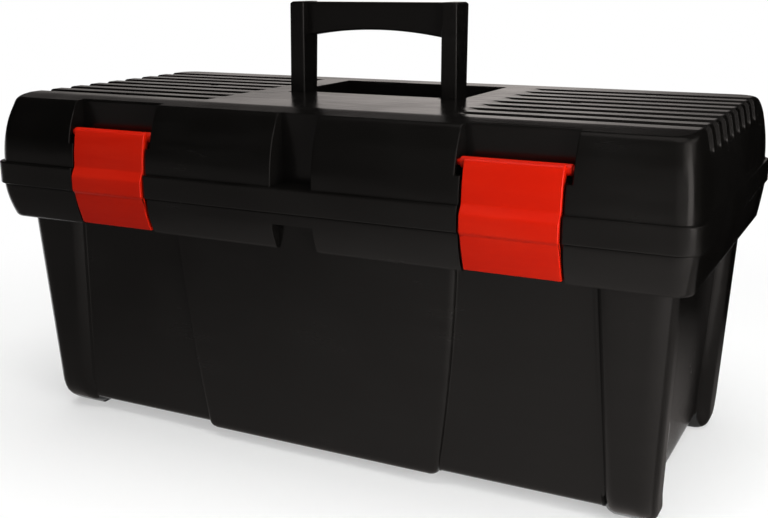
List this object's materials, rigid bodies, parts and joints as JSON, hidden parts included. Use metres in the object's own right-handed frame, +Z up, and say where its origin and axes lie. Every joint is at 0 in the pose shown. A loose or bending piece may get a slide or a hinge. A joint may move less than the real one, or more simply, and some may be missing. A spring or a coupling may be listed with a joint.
{
  "type": "tool case",
  "caption": "Hard plastic tool case with a hinged ribbed lid, pivoting front latches, a fold-down carry handle and a lift-out tray.",
  "frame": {"origin": "on the floor, under the middle of the case's outer box", "axes": "+X along the length to the right seen from the front, -Y to the front with the latches, +Z up"},
  "size_m": [0.523, 0.28, 0.3182],
  "materials": {
    "black_pp": "semi-gloss moulded polypropylene",
    "red_pp": "semi-gloss moulded polypropylene",
    "steel": "drawn and zinc plated"
  },
  "bodies": {
    "tub": {"tub": "black_pp", "hinge_pin_left": "steel", "hinge_pin_right": "steel"},
    "lid": {"lid": "black_pp", "handle_pin_left": "steel", "handle_pin_right": "steel"},
    "handle": {"handle": "black_pp"},
    "latch_left": {"latch_left": "red_pp"},
    "latch_right": {"latch_right": "red_pp"},
    "tray": {"tray": "black_pp", "tray_handle": "black_pp"}
  },
  "joints": [
    {"name": "lid_hinge", "type": "hinge", "parent": "tub", "child": "lid", "pos_m": [0, 0.135, 0.184], "axis": [-1, 0, 0], "range_deg": [0, 105]},
    {"name": "latch_left_pivot", "type": "hinge", "parent": "lid", "child": "latch_left", "pos_m": [-0.1513, -0.12674, 0.2279], "axis": [-1, 0, 0], "range_deg": [0, 110]},
    {"name": "latch_right_pivot", "type": "hinge", "parent": "lid", "child": "latch_right", "pos_m": [0.1513, -0.12674, 0.2279], "axis": [-1, 0, 0], "range_deg": [0, 110]},
    {"name": "handle_fold", "type": "hinge", "parent": "lid", "child": "handle", "pos_m": [0, -0.0131, 0.2424], "axis": [-1, 0, 0], "range_deg": [0, 90]},
    {"name": "tray_lift", "type": "slide", "parent": "tub", "child": "tray", "axis": [0, 0, 1], "range_m": [0, 0.022]}
  ]
}
